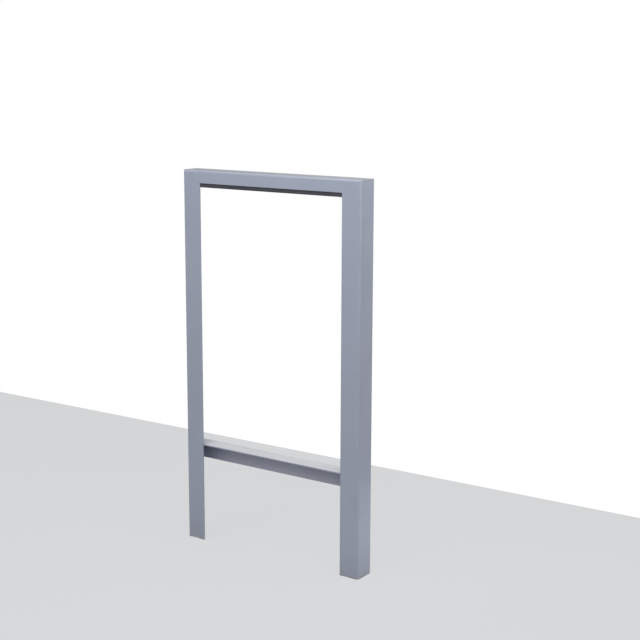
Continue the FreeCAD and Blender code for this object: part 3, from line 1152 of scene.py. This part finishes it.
@dataclass
class Buffer:
    """The rubber strip under the top rail, with its threaded studs, washers and lock nuts.

    Attributes:
        rubber: The strip's finish.
        zinc: The fixings' finish.
        pitch: The distance from one thread to the next.
        crest: The threads' outer radius.
        root: The threads' inner radius.
        tip: A stud's radius at its end.
        rows: Points along one pitch.
        flats: A nut's width across its flats.
        bore: Its inner radius.
        bearing: The radius of its bearing face.
        chamfer: The height of its cone chamfers.
        hexagon_height: The height of its hexagon.
        collar: The radius of its collar.
        lip: The radius of the collar's rolled edge.
        nylon: The radius of its nylon ring.
        recess: How far that sits inside the lip.
        lead_in: The size of the chamfer inside the bearing face.
        bend_points: Points on the lip and a chamfer.
        columns: Points round a nut, twice as many as round a stud.
    """

    rubber: bpy.types.Material
    zinc: bpy.types.Material
    pitch: float = 1.0 * MM
    crest: float = 2.98 * MM
    root: float = 2.42 * MM
    tip: float = 2.20 * MM
    rows: int = 10
    flats: float = 10.0 * MM
    bore: float = 3.02 * MM
    bearing: float = 4.75 * MM
    chamfer: float = 0.6 * MM
    hexagon_height: float = 4.6 * MM
    collar: float = 4.3 * MM
    lip: float = 0.35 * MM
    nylon: float = 3.90 * MM
    recess: float = 0.12 * MM
    lead_in: float = 0.3 * MM
    bend_points: int = 5
    columns: int = 72

    def centres(self) -> list[Point]:
        """Give each stud's lowest point, at the middle and at both ends of the row."""
        return [(place * STUD_SPACING, STUD_DEPTH, STUDS_LOW.z) for place in (-1, 0, 1)]

    def stud(self, centre: Point) -> Skin:
        """Cut a screw thread on a stud.

        At a height z and an angle t, e = |2 * fraction(z / pitch - t / turn) - 1| is 0 on the crest
        and 1 in the root. The radius climbs from root to crest as e falls from 3/4 to 1/8, so the
        crest is an eighth of the pitch wide and the root a quarter. The tip is turned to a cone of
        45 degrees.

        Args:
            centre: The stud's lowest point.

        Returns:
            The skin.
        """
        length = STUDS_HIGH.z - STUDS_LOW.z
        z = np.linspace(0.0, length, round(self.rows * length / self.pitch) + 1)[:, None]
        t = np.linspace(0.0, 2.0 * math.pi, self.columns // 2, endpoint=False)[None, :]
        e = np.abs(2.0 * np.mod(z / self.pitch - t / (2.0 * math.pi), 1.0) - 1.0)
        climb = np.clip((0.75 - e) / (0.75 - 0.125), 0.0, 1.0)
        radius = np.minimum(self.root + (self.crest - self.root) * climb, self.tip + z)
        radius = np.vstack([0.0 * t, radius, 0.0 * t])
        z = np.vstack([[[0.0]], z, [[length]]])
        grid = np.stack([radius * np.cos(t), radius * np.sin(t), z + 0.0 * t], axis=-1)
        return spindle(grid + np.array(centre))

    def nut(self, centre: Point) -> Skin:
        """Shape a lock nut: a hexagon under its bearing face and a rolled collar below.

        At an angle t the hexagon's radius is half its flats over cos(t' - 30 degrees), where t' is
        what is left of t over 60 degrees. A row of the section keeps its own radius, or the hexagon's
        where that is smaller, which cuts the chamfers as cones that widen by sqrt(3) of their height.

        Args:
            centre: The stud's lowest point.

        Returns:
            The skin.
        """
        low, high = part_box("buffer_nuts")
        face, bottom = high.z - centre[2], low.z - centre[2]
        shoulder, ring = face - self.hexagon_height, bottom + self.recess
        drop = np.linspace(0.0, self.chamfer, self.bend_points)
        cone = self.bearing + math.sqrt(3.0) * drop
        bend = np.linspace(0.0, 0.5 * math.pi, self.bend_points)
        rolled = self.collar - self.lip * (1.0 - np.cos(bend))
        section = np.concatenate(
            [
                [(self.bore + self.lead_in, face)],
                np.stack([cone, face - drop], axis=1),
                np.stack([cone[::-1], shoulder + drop[::-1]], axis=1),
                [(self.collar, shoulder)],
                np.stack([rolled, bottom + self.lip * (1.0 - np.sin(bend))], axis=1),
                [(self.nylon, ring), (self.bore, ring), (self.bore, face - self.lead_in)],
            ]
        )
        sixth = math.pi / 3.0
        t = np.linspace(0.0, 2.0 * math.pi, self.columns, endpoint=False)[None, :]
        hexagon = 0.5 * self.flats / np.cos(np.mod(t, sixth) - 0.5 * sixth)
        radius = np.minimum(section[:, :1], hexagon)
        grid = np.stack([radius * np.cos(t), radius * np.sin(t), section[:, 1:] + 0.0 * t], axis=-1)
        return hoop_skin(grid + np.array(centre))

    def build(self) -> None:
        """Dress the rubber and the washers, and cut the studs and nuts."""
        dress_node("buffer_strip", self.rubber)
        dress_node("buffer_washers", self.zinc)
        studs = joined([self.stud(centre) for centre in self.centres()])
        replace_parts(place_piece("threaded_studs", studs, self.zinc), "buffer_studs")
        nuts = joined([self.nut(centre) for centre in self.centres()])
        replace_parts(place_piece("lock_nuts", nuts, self.zinc), "buffer_nuts")


# The setting


@dataclass(frozen=True)
class Lamp:
    """A soft rectangular lamp, sizes in metres, power in watts and the beam's spread in degrees."""

    name: str
    place: Point
    target: Point
    size: tuple[float, float]
    power: float
    spread: float = 180.0

    def hang(self) -> None:
        """Hang the lamp where it isn't seen itself."""
        data = bpy.data.lights.new(self.name, "AREA")
        data.shape = "RECTANGLE"
        data.size, data.size_y = self.size
        data.energy = self.power
        data.spread = math.radians(self.spread)
        lamp = bpy.data.objects.new(self.name, data)
        bpy.context.scene.collection.objects.link(lamp)
        aim = Vector(self.target) - Vector(self.place)
        lamp.location = self.place
        lamp.rotation_euler = aim.to_track_quat("-Z", "Y").to_euler()
        lamp.visible_camera = False


@dataclass
class Setting:
    """The pale floor, the white behind it, soft light and the camera.

    Attributes:
        floor_edge: The floor ends behind the hoop at the line y = first + second * x.
        floor_reach: How far it goes the other ways, in metres.
        ambient: The strength of the even light.
        lamps: The lamps.
        eye: Where the camera stands.
        turn: Its turn from +Y towards -X, in degrees.
        dip: How far it looks down, in degrees.
        roll: Its picture's roll, in degrees.
        lens: Its focal length in millimetres.
    """

    floor_edge: tuple[float, float] = (0.7409, 0.01477)
    floor_reach: float = 6.0
    ambient: float = 0.48
    lamps: tuple[Lamp, ...] = (
        Lamp("front_lamp", (0.3, -1.0, 1.9), (0.0, 0.0, 0.60), (2.0, 1.4), 21.7),
        Lamp("side_lamp", (0.8, 0.15, 1.5), (0.25, 0.0, 0.85), (0.7, 0.7), 3.0),
        Lamp("low_lamp", (1.0, 0.3, 0.32), (0.25, 0.0, 0.20), (0.15, 0.1), 0.055, 30.0),
    )
    eye: Point = (1.8239, -2.4153, 1.2373)
    turn: float = 35.110
    dip: float = 10.708
    roll: float = 0.189
    lens: float = 75.38

    def floor(self) -> None:
        """Lay the floor at the paving surface, up to the line behind the hoop."""
        reach = self.floor_reach
        right, left = (self.floor_edge[0] + self.floor_edge[1] * x for x in (reach, -reach))
        corners = [(-reach, -reach), (reach, -reach), (reach, right), (-reach, left)]
        points = np.column_stack([corners, np.full(4, PAVING)])
        skin = Skin(points, np.arange(4)[None, :], np.zeros((0, 3), int))
        mesh_piece("floor", skin, PaleFloor().material())

    def world(self) -> None:
        """Surround the hoop with even light that looks white to the camera and in reflections."""
        world = bpy.data.worlds.new("white_surround")
        bpy.context.scene.world = world
        graph = Graph(world)
        rays = graph.add("ShaderNodeLightPath").outputs
        shown = graph.most(*(rays[f"Is {kind} Ray"] for kind in ("Camera", "Glossy", "Transmission")))
        strength = graph.ramp(shown, 0.0, 1.0, self.ambient, 1.0)
        light = graph.shader("ShaderNodeBackground", Color=WHITE, Strength=strength)
        graph.close("ShaderNodeOutputWorld", light)

    def camera(self) -> None:
        """Stand the camera where the photograph was taken from.

        The picture's right and up directions are rolled about the direction that it looks in.
        """
        turn, dip, roll = (math.radians(angle) for angle in (self.turn, self.dip, self.roll))
        ahead = Vector((-math.sin(turn) * math.cos(dip), math.cos(turn) * math.cos(dip), -math.sin(dip)))
        level = Vector((math.cos(turn), math.sin(turn), 0.0))
        upright = level.cross(ahead)
        right = level * math.cos(roll) + upright * math.sin(roll)
        up = upright * math.cos(roll) - level * math.sin(roll)
        data = bpy.data.cameras.new("camera")
        data.lens = self.lens
        camera = bpy.data.objects.new("camera", data)
        bpy.context.scene.collection.objects.link(camera)
        matrix = Matrix((right, up, -ahead)).transposed().to_4x4()
        matrix.translation = Vector(self.eye)
        camera.matrix_world = matrix
        bpy.context.scene.camera = camera

    def build(self) -> None:
        """Make everything round the hoop."""
        self.floor()
        self.world()
        for lamp in self.lamps:
            lamp.hang()
        self.camera()
        bpy.context.scene.view_settings.view_transform = "Standard"


def main() -> None:
    """Build the looks in order."""
    logging.basicConfig(level=logging.INFO, format="%(message)s")
    coat = PowderCoat().material()
    FoldedFrame(coat).build()
    Feet(coat).build()
    Buffer(ExtrudedRubber().material(), ZincPlate().material()).build()
    Setting().build()


if __name__ == "__main__":
    main()
